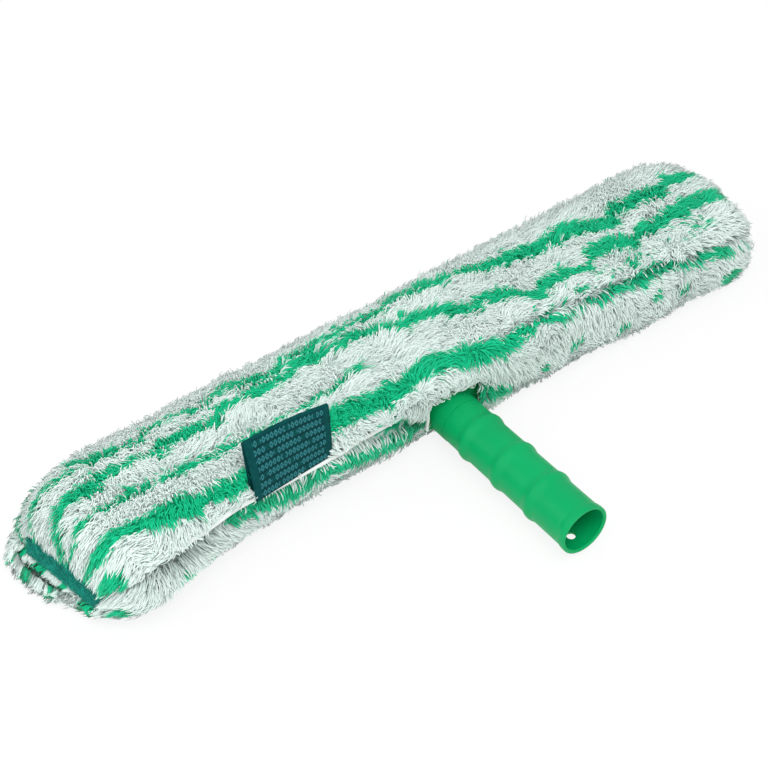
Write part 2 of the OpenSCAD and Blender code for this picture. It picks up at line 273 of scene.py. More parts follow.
# Each stripe as points of (place along the sleeve, walk along the section, half its width)
STRIPES = {
    "back": [
        (-214, 100, 2.2), (-202, 104, 2.6), (-130, 103, 2.4), (-60, 106, 2.8), (7, 101, 3.2),
        (37, 106, 4), (65, 112, 5), (125, 119, 5.6), (143, 123, 5.4), (165, 118, 5.6),
        (201, 119, 5.4), (236, 117, 4)],
    "top": [
        (-236, 132, 3.5), (-208, 121, 4), (-188, 118, 4.5), (-122, 118, 4.6), (-89, 114, 4.4),
        (-28, 114, 4), (18, 127, 5), (56, 138, 6), (74, 146, 5.5), (97, 141, 5.6), (109, 146, 5),
        (123, 139, 6.5), (150, 145, 5.5), (171, 141, 5.6), (184, 140, 6), (216, 145, 5),
        (238, 146, 4)],
    "thin": [
        (-236, 141, 2), (-204, 137, 2.6), (-156, 139, 2.4), (-120, 141, 2.4), (-67, 141, 2.2),
        (-38, 136, 2.2), (-28, 133, -2)],
    "front": [
        (-236, 160, 3), (-208, 158, 4.2), (-174, 161, 6), (-141, 165, 6), (-74, 159, 6.6),
        (-28, 161, 6.6), (-2, 158, 6.4), (20, 164, 6), (48, 167, 4), (64, 167, 2.4),
        (96, 169.5, 2.2), (133, 171.5, 2.4), (157, 174, 2), (185, 178, 2.8), (212, 182, 3),
        (230, 186, 1)],
    "below_seam": [
        (-156, 186, -3), (-148, 187, 3), (-77, 188.5, 4.6), (-53, 192, 4.8), (-26, 197, 4.8),
        (-16, 200, 4.5), (-14, 200, -3)],
    "beside_handle": [(16, 190, -3), (19, 190, 5), (34, 194, 5), (44, 196, -3)],
    "upper_back": [(-238, 76, 4.5), (238, 79, 4.5)],
    "middle_back": [(-238, 53, 3), (238, 55, 3)],
    "lower_back": [(-238, 30, 5), (238, 28, 5)],
    "underside": [(-238, 6, 3), (238, 8, 3)],
    "lower_front": [(-238, 226, 4.5), (238, 224, 4.5)],
}
# Loose green tufts as (place along the sleeve, walk, radius)
TUFTS = [
    (-226, 178, 8), (-222, 205, 6), (-205, 214, 5), (206, 202, 8), (168, 190, 4), (120, 193, 4),
    (84, 190, 4.5), (142, 184, 3), (60, 196, 4), (-188, 196, 4), (-168, 204, 4)]
# Length of one slow sidestep of the stripes on the back and top
JOG_LENGTH = 38
# A depth that puts a local stripe out of play where it doesn't belong
FAR = 9


def green_depth(s, v):
    """Millimetres inside the nearest green stripe, below 0 in the white."""
    s = s + 1.5 * noise(s / 10, v / 8, 11) + 1.0 * noise(s / 4, v / 3.5, 12)
    step = v / JOG_LENGTH + 0.35 * noise(v / 30, 0.5, 13)
    jog = 5.0 * (step - np.floor(step) - 0.5)
    near = []
    for name, points in STRIPES.items():
        centre = follow([(x, walk) for x, walk, _ in points], v)
        half = follow([(x, width) for x, _, width in points], v)
        if name in ("back", "top"):
            centre = centre + jog
        if name in ("thin", "below_seam"):
            half = half - 1.6 * ramp(0.0, 0.7, noise(v / 9, 1.5, 14))
        if name == "front":
            half = half - 2.6 * ramp(0.0, 0.6, noise(v / 14, 2.5, 15)) * ramp(50, 66, v)
        near.append(band(s, centre, half))
    for middle, walk, radius in TUFTS:
        near.append(radius - np.hypot(s - walk, v - middle))
    speckle = 3.5 * (noise(s / 3.2, v / 4.5, 16) - 0.42)
    near.append(np.minimum(speckle, band(s, 157, 8)) - FAR * (1 - between(56, 66, 196, 210, v)))
    near.append(band(s, seam_walk(v), 4.2) - FAR * (1 - between(-62, -52, -26, -18, v)))
    return np.max(near, axis=0)


# Mesh helpers
def in_scene(name, data):
    """A new object in the scene."""
    piece = bpy.data.objects.new(name, data)
    bpy.context.scene.collection.objects.link(piece)
    return piece


def grid_quads(index):
    """The faces between neighbours of a grid of vertex numbers."""
    return np.stack([index[:-1, :-1], index[1:, :-1], index[1:, 1:], index[:-1, 1:]], -1).reshape(-1, 4)


def closed_tube(rings, around):
    """Faces of a stack of rings: quads along its sides, triangles to one more vertex at each end."""
    index = np.arange(rings * around).reshape(rings, around)
    after = np.roll(index, -1, axis=1)
    quads = np.stack([index[:-1], after[:-1], after[1:], index[1:]], -1).reshape(-1, 4)
    first = np.full(around, rings * around)
    start_cap = np.stack([after[0], index[0], first], -1)
    end_cap = np.stack([index[-1], after[-1], first + 1], -1)
    return quads, np.concatenate([start_cap, end_cap])


def repeated(faces, count, vertices):
    """The faces of one small piece, repeated for a count of pieces with so many vertices each."""
    faces = np.array(faces)
    offsets = (np.arange(count) * vertices)[:, None, None]
    return (offsets + faces[None]).reshape(-1, faces.shape[1])


def unit(vectors):
    return vectors / np.maximum(np.linalg.norm(vectors, axis=-1), 1e-9)[..., None]


def mesh_object(name, points, quads, triangles=()):
    """A mesh in the row frame, made from points of the tool's frame and arrays of faces."""
    mesh = bpy.data.meshes.new(name)
    faces = [np.asarray(f, np.int32) for f in (quads, triangles) if len(f)]
    corners = np.concatenate([f.ravel() for f in faces])
    counts = np.concatenate([np.full(len(f), f.shape[1], np.int32) for f in faces])
    mesh.vertices.add(len(points))
    mesh.vertices.foreach_set("co", place(points).astype(np.float32).ravel())
    mesh.loops.add(len(corners))
    mesh.loops.foreach_set("vertex_index", corners)
    mesh.polygons.add(len(counts))
    mesh.polygons.foreach_set("loop_start", np.r_[0, np.cumsum(counts)[:-1]].astype(np.int32))
    mesh.polygons.foreach_set("use_smooth", np.ones(len(counts), bool))
    mesh.update(calc_edges=True)
    mesh.validate()
    return in_scene(name, mesh)


def set_map(piece, u, v, name="OFBake"):
    """Gives each corner the pattern coordinates of its vertex."""
    mesh = piece.data
    layer = mesh.uv_layers.new(name=name, do_init=False)
    corner_vertex = np.empty(len(mesh.loops), np.int32)
    mesh.loops.foreach_get("vertex_index", corner_vertex)
    pairs = np.stack([u[corner_vertex], v[corner_vertex]], 1)
    layer.uv.foreach_set("vector", pairs.astype(np.float32).ravel())


# Materials
def adds_node(operation):
    """An operator that adds one kind of math node."""
    return lambda *values: calculate(operation, *values)


class Signal:
    """A value in a material's node tree. Arithmetic on it adds math nodes."""

    def __init__(self, tree, socket):
        self.tree = tree
        self.socket = socket

    def __rsub__(self, other):
        return calculate("SUBTRACT", other, self)

    __add__ = adds_node("ADD")
    __sub__ = adds_node("SUBTRACT")
    __mul__ = adds_node("MULTIPLY")
    __truediv__ = adds_node("DIVIDE")
    __mod__ = adds_node("MODULO")
    __lt__ = adds_node("LESS_THAN")
    __gt__ = adds_node("GREATER_THAN")
    __abs__ = adds_node("ABSOLUTE")


def feed(socket, value):
    """Links a signal to a socket, or sets the socket to a constant."""
    if isinstance(value, Signal):
        value.tree.links.new(value.socket, socket)
    else:
        socket.default_value = value


def calculate(operation, *values):
    """A math node on signals and constants."""
    tree = next(value.tree for value in values if isinstance(value, Signal))
    node = tree.nodes.new("ShaderNodeMath")
    node.operation = operation
    for socket, value in zip(node.inputs, values):
        feed(socket, value)
    return Signal(tree, node.outputs[0])


def new_material(name, rough, specular, sheen=0.0):
    material = bpy.data.materials.new(name)
    material.use_nodes = True
    tree = material.node_tree
    tree.nodes.clear()
    output = tree.nodes.new("ShaderNodeOutputMaterial")
    shader = tree.nodes.new("ShaderNodeBsdfPrincipled")
    tree.links.new(shader.outputs[0], output.inputs["Surface"])
    shader.inputs["Roughness"].default_value = rough
    shader.inputs["Specular IOR Level"].default_value = specular
    shader.inputs["Sheen Weight"].default_value = sheen
    return material, tree, shader


def colour(red, green, blue):
    """Linear colour from sRGB values of 0 to 255."""
    values = [c / 255 for c in (red, green, blue)]
    return [c / 12.92 if c <= 0.04045 else ((c + 0.055) / 1.055) ** 2.4 for c in values] + [1]


def colour_ramp(value, stops):
    """The colour at a value, between stops of (position, colour)."""
    node = value.tree.nodes.new("ShaderNodeValToRGB")
    elements = node.color_ramp.elements
    while len(elements) < len(stops):
        elements.new(0.5)
    for element, (position, shade) in zip(elements, stops):
        element.position = position
        element.color = shade
    feed(node.inputs[0], value)
    return Signal(value.tree, node.outputs[0])


def mix_colours(share, first, second, kind="MIX"):
    """The second colour laid over the first by a share."""
    tree = first.tree
    node = tree.nodes.new("ShaderNodeMix")
    node.data_type = "RGBA"
    node.blend_type = kind
    for index, value in ((0, share), (6, first), (7, second)):
        feed(node.inputs[index], value)
    return Signal(tree, node.outputs[2])


def object_place(tree):
    return Signal(tree, tree.nodes.new("ShaderNodeTexCoord").outputs["Object"])


def split(vector):
    """The x, y and z of a vector."""
    node = vector.tree.nodes.new("ShaderNodeSeparateXYZ")
    feed(node.inputs[0], vector)
    return [Signal(vector.tree, socket) for socket in node.outputs]


def read_map(tree, name):
    """The two coordinates of a piece's pattern map."""
    node = tree.nodes.new("ShaderNodeUVMap")
    node.uv_map = name
    return split(Signal(tree, node.outputs[0]))[:2]


def noise_at(where, scale, detail=2.0):
    node = where.tree.nodes.new("ShaderNodeTexNoise")
    node.inputs["Scale"].default_value = scale
    node.inputs["Detail"].default_value = detail
    feed(node.inputs["Vector"], where)
    return Signal(where.tree, node.outputs[0])


def add_bump(shader, height, strength, distance):
    node = height.tree.nodes.new("ShaderNodeBump")
    node.inputs["Strength"].default_value = strength
    node.inputs["Distance"].default_value = distance
    feed(node.inputs["Height"], height)
    height.tree.links.new(node.outputs[0], shader.inputs["Normal"])


def pile_material():
    """Microfibre pile: u is how green a strand is, v how light it is, with painted shade that darkens each
    strand towards its root.
    """
    material, tree, shader = new_material("pile_fabric", 0.8, 0.2, 0.15)
    green, light = read_map(tree, "OFBake")
    dye = colour_ramp(green, [
        (0.0, colour(243, 255, 251)),
        (0.35, colour(220, 246, 237)),
        (0.55, colour(110, 222, 185)),
        (0.75, colour(14, 210, 155)),
        (1.0, colour(0, 198, 138)),
    ])
    # Painted shade: the low end of v darkens the strands' roots and the undercoat, as shade deep in the
    # pile.
    shade = colour_ramp(light, [
        (0.0, (0.5, 0.55, 0.54, 1)),
        (0.35, (0.88, 0.9, 0.895, 1)),
        (0.8, (1, 1, 1, 1)),
    ])
    feed(shader.inputs["Base Color"], mix_colours(1, dye, shade, "MULTIPLY"))
    return material


def plastic_material(name, base, rough):
    """Moulded plastic with slightly uneven colour and gloss."""
    material, tree, shader = new_material(name, rough, 0.14)
    where = object_place(tree)
    uneven = noise_at(where, 22, 4)
    dark = [c * 0.93 for c in base[:3]] + [1]
    light = [min(1, c * 1.05) for c in base[:3]] + [1]
    feed(shader.inputs["Base Color"], colour_ramp(uneven, [(0.35, dark), (0.65, light)]))
    glossy = [rough - 0.05] * 3 + [1]
    dull = [rough + 0.07] * 3 + [1]
    feed(shader.inputs["Roughness"], colour_ramp(uneven, [(0.3, glossy), (0.7, dull)]))
    add_bump(shader, noise_at(where, 900), 0.03, 0.0004)
    return material


def steel_material():
    """Stainless steel with a fine turned grain."""
    material, tree, shader = new_material("screw_steel", 0.32, 0.5)
    grain = noise_at(object_place(tree), 1500, 3)
    shades = [(0.35, colour(176, 178, 181)), (0.65, colour(206, 208, 210))]
    feed(shader.inputs["Base Color"], colour_ramp(grain, shades))
    shader.inputs["Metallic"].default_value = 1
    add_bump(shader, grain, 0.1, 0.0001)
    return material


# In place of a body's name: the piece joins no body and its place is baked into its mesh. It lies across
# the flap's hinge
BENDS = "bends"


def dress(piece, material):
    piece.data.materials.clear()
    piece.data.materials.append(material)


def finish_piece(piece, material, body="scrubber"):
    """Gives a piece its material and its body, or for BENDS no body and its place baked into its mesh."""
    dress(piece, material)
    if body == BENDS:
        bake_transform(piece)
    else:
        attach(piece, body)
    return piece


def dress_node(name, material):
    """Gives a CAD node that stays in view a material in its own slots."""
    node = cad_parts[name]
    if not node.material_slots:
        node.data.materials.append(material)
    for slot in node.material_slots:
        slot.material = material


# Pile: strands in clumps, one clump to each square of this size
CLUMP = 3.0
STRANDS_PER_CLUMP = 11
# How much of their spread at the roots the strands of a clump keep at their tips
GATHER = 0.75
# Depth of the roots under the undercoat
ROOTED = 1.5
# Usual sideways reach of a strand from its root to its tip
LEAN = 4.6
# How much of a strand's own roundness shows in its shading
SIDE_SHADE = 0.5
# Strands end at least this high above the floor
FLOOR_GAP = 0.15
MOST_STRANDS = 12000
# Walks along the section: the slit, the hinge of the flap and the strip of pile that bends over it
SLIT_WALK = (184.5, 216)
FLAP_WALK = 157.7
FOLD_WALK = (203, 214)


def on_ledge(v):
    """1 on the ledge under a pad and above it, 0 elsewhere."""
    return ramp(STRAIGHT + CAP - 3, STRAIGHT + CAP + 1, np.abs(v))


def coat_depth(s, v):
    """Depth of the undercoat below the tips: most on the back and top, little on a ledge."""
    return (4.0 + 2.2 * between(30, 60, 140, 160, s)) * (1 - 0.7 * on_ledge(v))


def strand_points(root, bend, tip, up, radius):
    """Ten vertices to a strand, three rings of three and its tip, and the way that each faces."""
    count = len(root)
    along = tip - root
    aside = unit(np.cross(along, up) + 0.25 * rng.normal(size=(count, 3)))
    other = np.cross(unit(along), aside)
    points = np.empty((count, 10, 3))
    facing = np.empty((count, 10, 3))
    for ring, (t, width) in enumerate(((0.0, 0.9), (0.42, 0.95), (0.76, 0.7))):
        centre = (1 - t) ** 2 * root + 2 * t * (1 - t) * bend + t * t * tip
        for side in range(3):
            angle = 2 * math.pi * (side + 0.75) / 3
            arm = aside * math.cos(angle) + other * math.sin(angle)
            points[:, 3 * ring + side] = centre + arm * (radius * width)[:, None]
            facing[:, 3 * ring + side] = up + SIDE_SHADE * arm
    points[:, 9] = tip
    facing[:, 9] = up
    points[:, :, 2] = np.maximum(points[:, :, 2], FLOOR_GAP)
    return points, facing


def strand_mesh(name, pile, part):
    """Three-sided tapered strands that rise from root, bend over and lie down towards tip.

    Their shading leans towards the pile's own outward direction, so that the pile looks soft."""
    root, bend, tip, up = (pile[key][part] for key in ("root", "bend", "tip", "up"))
    radius, dye, light = (pile[key][part] for key in ("radius", "dye", "light"))
    points, facing = strand_points(root, bend, tip, up, radius)
    quads = []
    for ring in (0, 3):
        for side in range(3):
            after = (side + 1) % 3
            quads.append([ring + side, ring + after, ring + 3 + after, ring + 3 + side])
    triangles = [[6, 7, 9], [7, 8, 9], [8, 6, 9], [2, 1, 0]]
    quads, triangles = (repeated(faces, len(root), 10) for faces in (quads, triangles))
    piece = mesh_object(name, points.reshape(-1, 3), quads, triangles)
    around = np.r_[np.tile([-0.004, 0, 0.004], 3), 0]
    u = dye[:, None] + around
    # v darkens each strand towards its root as painted shade; its light adds random tone and the painted
    # shade of the grooves.
    rise = np.r_[np.repeat([0.0, 0.45, 0.8], 3), 1.0]
    v = rise * (0.62 + 0.38 * light[:, None]) + 0.1 * (light[:, None] - 0.5)
    set_map(piece, np.clip(u, 0.01, 0.99).ravel(), np.clip(v, 0.01, 0.99).ravel())
    piece.data.normals_split_custom_set_from_vertices(unit(facing).reshape(-1, 3))
    return piece


def clump_centres():
    """Centres of the tufts on a jittered grid over the whole surface."""
    end = STRAIGHT + CAP + LEDGE
    s, v = np.meshgrid(np.arange(0, GIRTH, CLUMP), np.arange(-end, end, CLUMP))
    s = s.ravel() + rng.uniform(-0.5, 0.5, s.size) * CLUMP
    v = v.ravel() + rng.uniform(-0.5, 0.5, v.size) * CLUMP
    area = surface_frame(s, v)[2]
    keep = rng.uniform(size=s.size) < np.clip(area, 0, 1)
    return s[keep], v[keep]


def combing(s, v):
    """Which way the pile lies at each place, as millimetres along s and v."""
    left = 1 - ramp(-10, 25, v)
    right = ramp(10, 40, v)
    over_top = between(60, 85, 150, 165, s)
    hang = between(158, 170, 190, 204, s) - between(30, 45, 60, 80, s)
    lie_s = 1.5 * noise(s / 13, v / 17, 21) + 0.9 * noise(s / 6, v / 7, 23)
    lie_v = 1.5 * noise(s / 15, v / 14, 22) + 0.9 * noise(s / 7, v / 6, 24)
    lie_s = lie_s + 1.1 * over_top + 1.3 * hang
    lie_v = lie_v + 0.9 * over_top * (1 - ramp(100, 160, np.abs(v)))
    lie_v = lie_v + 2.8 * np.sign(v) * ramp(175, 215, np.abs(v))
    lie_v = lie_v * (1 - on_ledge(v)) - 3 * np.sign(v) * on_ledge(v)
    at_slit = hump(v, 0, 15) * between(168, 178, 190, 200, s)
    lie_s = lie_s * (1 - at_slit) - 1.6 * at_slit
    size = np.hypot(lie_s, lie_v) + 1e-6
    length = LEAN * np.minimum(size, 1.3)
    lie_s, lie_v = lie_s / size * length, lie_v / size * length
    for line, share in ((seam_walk(v), left), (crease_walk(v), right)):
        lie_s = lie_s + 4 * np.exp(-np.abs(s - line) / 6) * np.sign(s - line) * share
    return lie_s, lie_v


def over_collar(points):
    """Lifts what would run through the handle's collar on to its skin."""
    skin = 14.7
    points = points.copy()
    out = np.hypot(points[:, 0], points[:, 2] - BAR_Z)
    inside = (out < skin) & (points[:, 1] < 0) & (points[:, 2] > BAR_Z)
    share = skin / np.maximum(out[inside], 1)
    points[inside, 0] *= share
    points[inside, 2] = BAR_Z + (points[inside, 2] - BAR_Z) * share
    return points


def groove_shade(s, x):
    """How much darker the strands at the bottom of the seam's and the crease's grooves are."""
    tuck = ramp(-66, -54, x)
    seam = hump(s, seam_walk(x), 1.6 + 2.8 * tuck) * between(-230, -200, -24, -12, x)
    crease = hump(s, crease_walk(x), 1.6) * between(15, 40, 200, 225, x)
    return 1.2 * seam * (1 + 0.4 * tuck) + 1.5 * crease


def grow_pile():
    """Roots, bends, tips and colours of every strand."""
    s, v = clump_centres()
    lie_s, lie_v = combing(s, v)
    lie_s = lie_s + rng.normal(0, 1.0, s.size)
    lie_v = lie_v + rng.normal(0, 1.0, s.size)
    clump_high = rng.normal(0, 0.7, s.size) + swell(s, v)
    clump_light = rng.normal(0, 0.15, s.size)
    index = np.repeat(np.arange(s.size), STRANDS_PER_CLUMP)
    count = index.size
    off_s = rng.normal(0, 0.55 * CLUMP, count)
    off_v = rng.normal(0, 0.55 * CLUMP, count)
    root_s = s[index] + off_s
    root_v = v[index] + off_v
    reach = rng.uniform(0.7, 1.2, count)
    tip_s = s[index] + GATHER * off_s + lie_s[index] * reach + rng.normal(0, 0.6, count)
    tip_v = v[index] + GATHER * off_v + lie_v[index] * reach + rng.normal(0, 0.6, count)
    base, base_normal, _ = surface_frame(root_s, root_v)
    top, top_normal, _ = surface_frame(tip_s, tip_v)
    flat = on_ledge(root_v)
    uneven = rng.uniform(-0.5, 0.5, count) * (1 - flat)
    deep = coat_depth(root_s, root_v) + ROOTED * (1 - 0.4 * flat) + uneven
    high = clump_high[index] * (1 - flat) + rng.normal(0, 0.8, count) * (1 - 0.6 * flat) - 0.6 * flat
    root = base - base_normal * deep[:, None]
    bend = base * 0.8 + top * 0.2 + base_normal * (high + 0.6)[:, None]
    tip = top + top_normal * (high - 0.6)[:, None]
    spread = ramp(STRAIGHT - 14, STRAIGHT + CAP, np.abs(root_v)) * (1 - flat)
    tip[:, 0] += np.sign(root_v) * 3.0 * spread * rng.uniform(0.3, 1.2, count)
    dye = ramp(-0.7, 0.7, green_depth(root_s, root_v) + rng.normal(0, 0.6, count))
    dye = np.clip(dye * 0.82 + rng.uniform(0, 0.16, count), 0, 1)
    light = np.clip(rng.normal(0.6, 0.2, count) + clump_light[index], 0, 1)
    # Painted shade: strands rooted in the seam's and the crease's grooves are darker. On the ledge the
    # painted root shade is lifted, so strands lying flat are as light as their tips.
    light = light - groove_shade(root_s, root_v) + 3.5 * flat
    radius = rng.uniform(0.28, 0.5, count)
    up = top_normal + 0.5 * base_normal + 0.22 * (tip - root) / LEAN + rng.normal(0, 0.08, (count, 3))
    up /= np.linalg.norm(up, axis=1)[:, None]
    return dict(s=root_s, root=root, bend=over_collar(bend), tip=over_collar(tip), up=up,
                radius=radius, dye=dye, light=light)


def in_slit(pile):
    """Strands that would grow in the slit, where the handle comes out."""
    x = pile["root"][:, 0]
    inside = (pile["s"] > SLIT_WALK[0]) & (pile["s"] < SLIT_WALK[1])
    return inside & (np.abs(x) < 18)


def under_label(pile):
    """Strands that would poke through the front of the label."""
    tip = pile["tip"]
    beside = (tip[:, 0] > label_low[0] - 1) & (tip[:, 0] < label_high[0] + 1)
    front = tip[:, 1] < -30.5 - 0.12 * (tip[:, 2] - label_low[2])
    rooted = pile["s"] > 158
    return beside & front & rooted & (tip[:, 2] > label_low[2] - 1.2)


def in_seam(pile):
    """Strands that would grow on the seam itself, left of the handle."""
    x = pile["root"][:, 0]
    bare = 1.5 + between(-145, -155, -185, -195, x) + 2.4 * ramp(-60, -50, x)
    return (np.abs(pile["s"] - seam_walk(x)) < bare) & (x < -22) & (x > tape_low[0])


def in_flap(pile):
    """Strands of the flap and of the fold under its hinge."""
    x = pile["root"][:, 0]
    inside = (x > flap_low[0]) & (x < flap_high[0])
    return inside & (pile["s"] > FLAP_WALK) & (pile["s"] < FOLD_WALK[1])


def plant(name, chosen, body):
    """Splits the chosen strands into lengthwise pieces, each small enough to export whole."""
    index = np.flatnonzero(chosen)
    index = index[np.argsort(pile["root"][index, 0], kind="stable")]
    parts = math.ceil(len(index) / MOST_STRANDS)
    for number, part in enumerate(np.array_split(index, parts)):
        piece = strand_mesh(f"{name}_{number + 1:02d}", pile, part)
        finish_piece(piece, pile_look, body)


pile = grow_pile()
pile_look = pile_material()
growing = ~in_slit(pile) & ~under_label(pile) & ~in_seam(pile)
flap_strands = in_flap(pile)
fold_strands = flap_strands & (pile["s"] > FOLD_WALK[0])
plant("sleeve_pile", growing & ~flap_strands, "scrubber")
plant("flap_pile", growing & flap_strands & ~fold_strands, "flap")
plant("fold_pile", growing & fold_strands, BENDS)


# Undercoat: the dense roots of the pile, under its tips, painted darker as the shade deep in the pile
def tip_grid():
    """A search tree of the pile's tips, with the walk and the place along the sleeve of each cell."""
    end = STRAIGHT + CAP + LEDGE
    s, v = np.meshgrid(np.linspace(0, GIRTH, 141), np.linspace(-end, end, 291), indexing="ij")
    points, normals, _ = surface_frame(s, v)
    points = points + normals * swell(s, v)[..., None]
    cells = grid_quads(np.arange(s.size).reshape(s.shape))
    middle_s = ((s[:-1, :-1] + s[1:, 1:]) / 2).ravel()
    middle_v = ((v[:-1, :-1] + v[1:, 1:]) / 2).ravel()
    tree = BVHTree.FromPolygons(points.reshape(-1, 3).tolist(), cells.tolist())
    return tree, middle_s, middle_v


# Shade of the bare knitted inside, on the pile's own scale from root to tip
BACKING_LIGHT = 0.13
# Size of the undercoat's faces
VOXEL = 2.1


def even_copy(node):
    """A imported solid's mesh, remeshed with even faces."""
    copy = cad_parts[node].copy()
    copy.data = copy.data.copy()
    copy.parent = None
    copy.hide_render = False
    bpy.context.scene.collection.objects.link(copy)
    remesh = copy.modifiers.new("even", "REMESH")
    remesh.mode = "VOXEL"
    remesh.voxel_size = VOXEL * MM
    graph = bpy.context.evaluated_depsgraph_get()
    mesh = bpy.data.meshes.new_from_object(copy.evaluated_get(graph))
    bpy.data.objects.remove(copy)
    return mesh


def undercoat(name, node, body):
    """A copy of a packed pile solid, sunk to the roots of the pile."""
    mesh = even_copy(node)
    piece = in_scene(name, mesh)
    points = np.empty(len(mesh.vertices) * 3)
    mesh.vertices.foreach_get("co", points)
    points = points.reshape(-1, 3) / MM - (0, ORIGIN_Y, 0)
    found = [tips.find_nearest(Vector(point)) for point in points]
    nearest = np.array([spot for spot, _, _, _ in found])
    cell = np.array([index for _, _, index, _ in found])
    depth = np.array([distance for _, _, _, distance in found])
    s, v = tip_s[cell], tip_v[cell]
    normal = surface_frame(s, v)[1]
    deep = coat_depth(s, v)
    outside = np.sum((points - nearest) * normal, axis=1) > 0
    known = np.linalg.norm(normal, axis=1) > 0.5
    outer = ((depth < deep) | outside) & known
    sunk = deep + 0.5 * noise(s / 2.6, v / 2.6, 31)
    points[outer] = (nearest - normal * sunk[:, None])[outer]
    mesh.vertices.foreach_set("co", place(points).astype(np.float32).ravel())
    mesh.polygons.foreach_set("use_smooth", np.ones(len(mesh.polygons), bool))
    mesh.update()
    inner = (depth > deep + 1.5) & (np.abs(points[:, 0]) < STRAIGHT)
    dye = np.where(inner, 0.0, 0.08 + 0.84 * ramp(-0.8, 0.8, green_depth(s, v)))
    # Painted shade: the undercoat is darker than the strands' tips, and darker still in the grooves.
    painted_root_shade = 0.3 + 0.12 * noise(s / 1.7, v / 1.7, 32) - groove_shade(s, v)
    light = np.where(inner, BACKING_LIGHT, painted_root_shade)
    set_map(piece, dye, np.clip(light, 0.01, 0.99))
    finish_piece(piece, pile_look, body)
    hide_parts(node)


tips, tip_s, tip_v = tip_grid()
undercoat("sleeve_undercoat", "pile_sleeve", "scrubber")
undercoat("flap_undercoat", "closing_flap", "flap")


# Sheets and sweeps
def thick_sheet(name, middle, half_thick):
    """A closed thin mesh round a grid of points."""
    rows, columns = middle.shape[:2]
    offset = half_thick * unit(np.cross(np.gradient(middle, axis=0), np.gradient(middle, axis=1)))
    points = np.concatenate([(middle + offset).reshape(-1, 3), (middle - offset).reshape(-1, 3)])
    index = np.arange(rows * columns).reshape(rows, columns)
    upper = grid_quads(index)
    under = upper[:, ::-1] + rows * columns
    loop = np.r_[index[:-1, 0], index[-1, :-1], index[:0:-1, -1], index[0, :0:-1]]
    after = np.roll(loop, -1)
    rim = np.stack([after, loop, loop + rows * columns, after + rows * columns], -1)
    return mesh_object(name, points, np.concatenate([upper, under, rim]))


def sweep(name, path, aside, upward, profile):
    """A closed bar: a profile of points (across, up) carried along a path."""
    aside = np.broadcast_to(aside, path.shape)[:, None]
    upward = np.broadcast_to(upward, path.shape)[:, None]
    rings = path[:, None] + aside * profile[None, :, :1] + upward * profile[None, :, 1:]
    points = np.concatenate([rings.reshape(-1, 3), path[[0, -1]]])
    return mesh_object(name, points, *closed_tube(len(path), len(profile)))


def oval(half_width, half_height, points, power):
    """A rounded profile. A lower power makes it more like a box."""
    angle = np.linspace(0, 2 * math.pi, points, endpoint=False)
    across, up = np.cos(angle), np.sin(angle)
    return np.stack([half_width * np.sign(across) * np.abs(across) ** power,
                     half_height * np.sign(up) * np.abs(up) ** power], -1)


def threads(name, start, end, rise, radius, rings=5, sides=5):
    """Many short arched threads, each from a start to an end, bowed by rise at its middle."""
    count = len(start)
    along = unit(end - start)
    up = unit(rise)
    side = np.cross(along, up)
    points = np.empty((count, rings * sides, 3))
    for ring in range(rings):
        t = ring / (rings - 1)
        centre = start * (1 - t) + end * t + rise * (4 * t * (1 - t))
        narrow = 0.55 if ring in (0, rings - 1) else 1.0
        for k in range(sides):
            angle = 2 * math.pi * k / sides
            arm = side * math.cos(angle) + up * math.sin(angle)
            points[:, ring * sides + k] = centre + arm * radius * narrow
    quads, triangles = [], []
    for a in range(0, (rings - 1) * sides, sides):
        b = a + sides
        for k in range(sides):
            after = (k + 1) % sides
            quads.append([a + k, b + k, b + after, a + after])
    top = (rings - 1) * sides
    for k in range(1, sides - 1):
        triangles.append([0, k, k + 1])
        triangles.append([top, top + k + 1, top + k])
    quads, triangles = (repeated(faces, count, rings * sides) for faces in (quads, triangles))
    return mesh_object(name, points.reshape(-1, 3), quads, triangles)


# Fabric looks
def fabric_material(name, base, shade, thread, rough=0.85):
    """Woven or knitted cloth: threads of the given width in millimetres cross each other."""
    material, tree, shader = new_material(name, rough, 0.2, 0.2)
    where = object_place(tree)
    x, y, z = split(where)
    turns = math.pi / (thread * MM)
    weave = calculate("SINE", x * turns) * calculate("SINE", (y + z) * turns) * 0.35 + 0.5
    level = noise_at(where, 160, 3) * 0.5 + weave * 0.5
    feed(shader.inputs["Base Color"], colour_ramp(level, [(0.25, shade), (0.62, base)]))
    add_bump(shader, weave, 0.5, 0.0002)
    return material


def pad_material():
    """Non-woven scouring fibre: tangled fine fibres of uneven tone, with painted shade in the hollows of
    their bump.
    """
    material, tree, shader = new_material("scrub_pad", 0.9, 0.15, 0.1)
    where = object_place(tree)
    fine = noise_at(where, 1400, 5)
    # The fine noise sets the bump and darkens its low places: painted shade, mixed with uneven tone.
    level = fine * 0.65 + noise_at(where, 120, 3) * 0.35
    feed(shader.inputs["Base Color"], colour_ramp(level, [
        (0.36, colour(2, 118, 104)),
        (0.5, colour(6, 156, 138)),
        (0.64, colour(26, 182, 160)),
    ]))
    add_bump(shader, fine, 0.8, 0.0004)
    return material


# The ribbon's flat width, the height of each of its sides, the length of its fold and of one row of motifs
LABEL_WIDTH = 51
LABEL_HEIGHT = 37.5
LABEL_FOLD = 3.0
MOTIF_ROW = LABEL_HEIGHT / 7


def zigzag(value, period):
    """0 at whole periods, 1 half way between them."""
    share = calculate("FRACT", value / period)
    return 1 - abs(share * 2 - 1)


